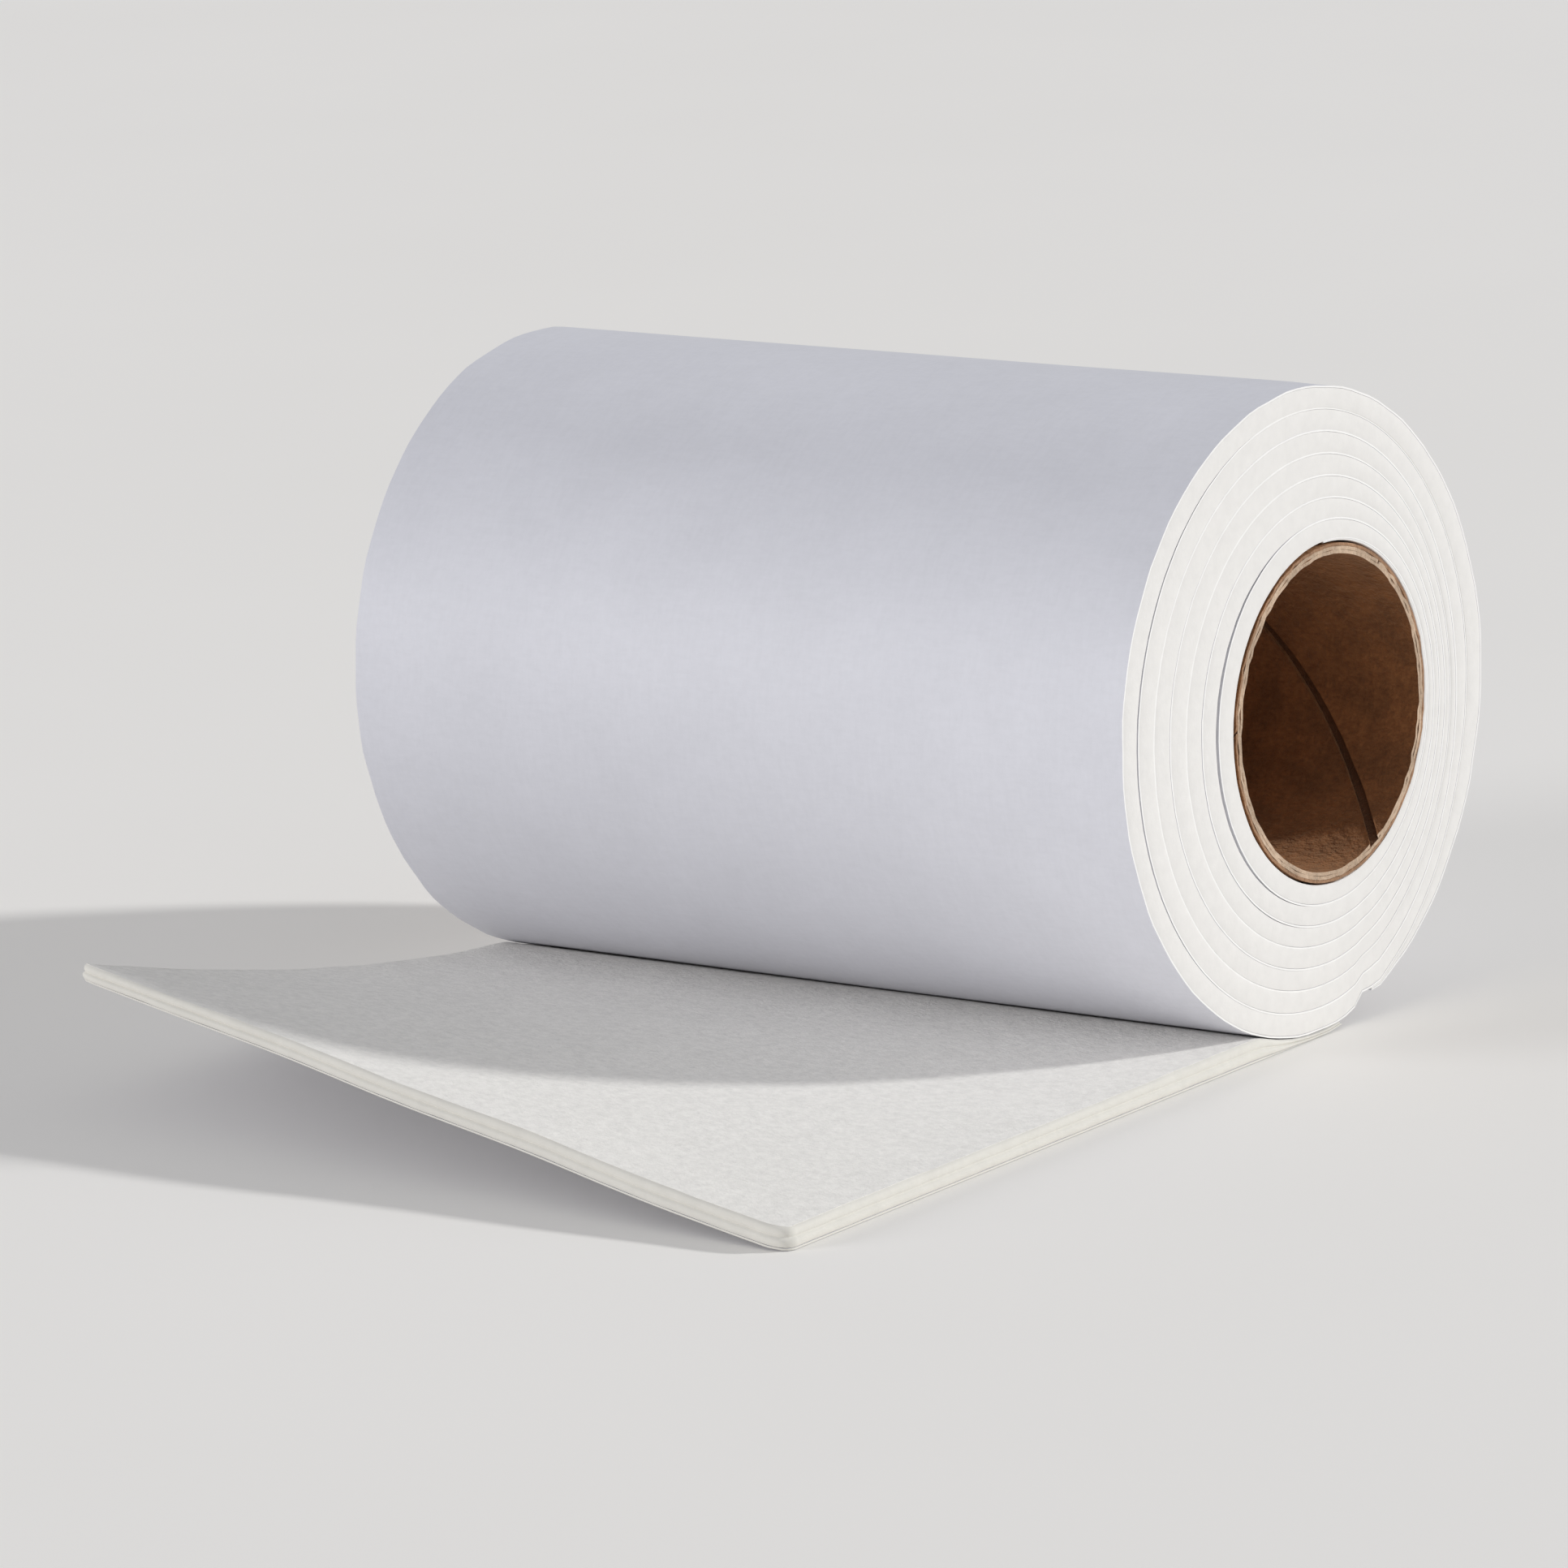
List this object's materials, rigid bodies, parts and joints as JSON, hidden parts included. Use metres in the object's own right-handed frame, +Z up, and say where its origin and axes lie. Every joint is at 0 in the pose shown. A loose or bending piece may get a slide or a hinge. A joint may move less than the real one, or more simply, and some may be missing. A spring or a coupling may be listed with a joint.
{
  "type": "backdrop roll",
  "caption": "Short roll of thick soft white backdrop sheet wound on a cardboard core, with its loose end lying out flat and one corner curled up.",
  "frame": {"origin": "under the middle of the roll and its loose end together, on the surface they lie on", "axes": "+X along the roll to its right end, -Y towards the free edge of the loose end, +Z up"},
  "size_m": [0.155, 0.1971, 0.106],
  "materials": {
    "felt": "soft white non-woven felt, matt and slightly fuzzy",
    "backing": "smooth white backing with a faint lilac cast, satin",
    "core_board": "brown spirally wound core board, matt",
    "tape": "cream paper tape, matt"
  },
  "bodies": {
    "sheet_under_roll": {"felt_under_roll": "felt", "backing_under_roll": "backing"},
    "wound_roll": {"core_inner_ply": "core_board", "core_middle_ply": "core_board", "core_outer_ply": "core_board", "start_tape": "tape", "felt_wound_turns": "felt", "backing_wound_turns": "backing"},
    "loose_end": {"felt_free_end": "felt", "backing_free_end": "backing"}
  },
  "joints": [
    {"name": "roll_turn", "type": "hinge", "parent": "sheet_under_roll", "child": "wound_roll", "pos_m": [0, 0.0464, 0.05395], "axis": [-1, 0, 0], "range_deg": [-40, 360]},
    {"name": "sheet_pull", "type": "slide", "parent": "sheet_under_roll", "child": "loose_end", "axis": [0, -1, 0], "range_m": [-0.038, 0.336], "deforming": ["felt_free_end", "backing_free_end"]}
  ],
  "couplings": [
    {"joint": "sheet_pull", "follows": "roll_turn", "m_per_rad": 0.0532}
  ]
}
